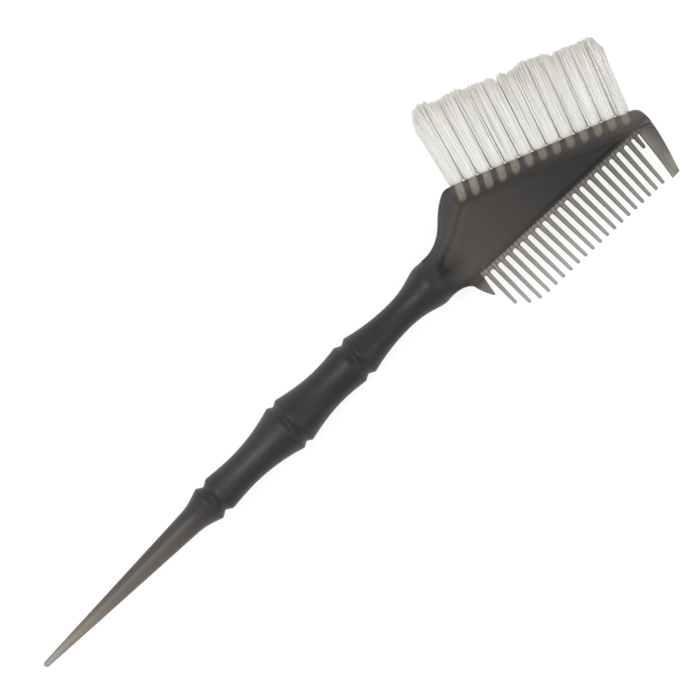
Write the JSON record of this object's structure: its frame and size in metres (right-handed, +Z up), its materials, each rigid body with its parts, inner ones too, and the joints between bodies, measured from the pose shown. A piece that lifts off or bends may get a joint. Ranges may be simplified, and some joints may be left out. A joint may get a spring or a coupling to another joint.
{
  "type": "tint brush",
  "caption": "Hair tint brush: translucent smoked plastic, slanted row of white nylon tufts, comb with guard tooth, bamboo-shaped handle and pin tail.",
  "frame": {"origin": "under the middle of the bounding box, on the surface that the brush lies on", "axes": "+X along the handle from the tip of the tail to the head, +Y from the comb to the bristles, +Z up through the thickness of the head"},
  "size_m": [0.227, 0.0636, 0.0148],
  "materials": {
    "smoked_plastic": "satin moulded, smoked and slightly translucent where thin",
    "nylon_bristle": "fine translucent white filaments",
    "anchor_metal": "bright flat wire"
  },
  "bodies": {
    "moulding": {"handle": "smoked_plastic", "head": "smoked_plastic", "comb_teeth": "smoked_plastic", "tuft_root_01": "nylon_bristle", "tuft_root_02": "nylon_bristle", "tuft_root_03": "nylon_bristle", "tuft_root_04": "nylon_bristle", "tuft_root_05": "nylon_bristle", "tuft_root_06": "nylon_bristle", "tuft_root_07": "nylon_bristle", "tuft_root_08": "nylon_bristle", "tuft_root_09": "nylon_bristle", "tuft_root_10": "nylon_bristle", "tuft_root_11": "nylon_bristle", "tuft_root_12": "nylon_bristle", "tuft_root_13": "nylon_bristle", "tuft_anchor_01": "anchor_metal", "tuft_anchor_02": "anchor_metal", "tuft_anchor_03": "anchor_metal", "tuft_anchor_04": "anchor_metal", "tuft_anchor_05": "anchor_metal", "tuft_anchor_06": "anchor_metal", "tuft_anchor_07": "anchor_metal", "tuft_anchor_08": "anchor_metal", "tuft_anchor_09": "anchor_metal", "tuft_anchor_10": "anchor_metal", "tuft_anchor_11": "anchor_metal", "tuft_anchor_12": "anchor_metal", "tuft_anchor_13": "anchor_metal"},
    "bristles": {"bristle_tuft_01": "nylon_bristle", "bristle_tuft_02": "nylon_bristle", "bristle_tuft_03": "nylon_bristle", "bristle_tuft_04": "nylon_bristle", "bristle_tuft_05": "nylon_bristle", "bristle_tuft_06": "nylon_bristle", "bristle_tuft_07": "nylon_bristle", "bristle_tuft_08": "nylon_bristle", "bristle_tuft_09": "nylon_bristle", "bristle_tuft_10": "nylon_bristle", "bristle_tuft_11": "nylon_bristle", "bristle_tuft_12": "nylon_bristle", "bristle_tuft_13": "nylon_bristle"}
  },
  "joints": [
    {"name": "bristle_flex", "type": "hinge", "parent": "moulding", "child": "bristles", "pos_m": [0.08192, 0.00055, 0.00742], "axis": [0.9291, -0.3697, 0], "range_deg": [-35, 35], "stiffness_Nm_per_rad": 0.03}
  ]
}
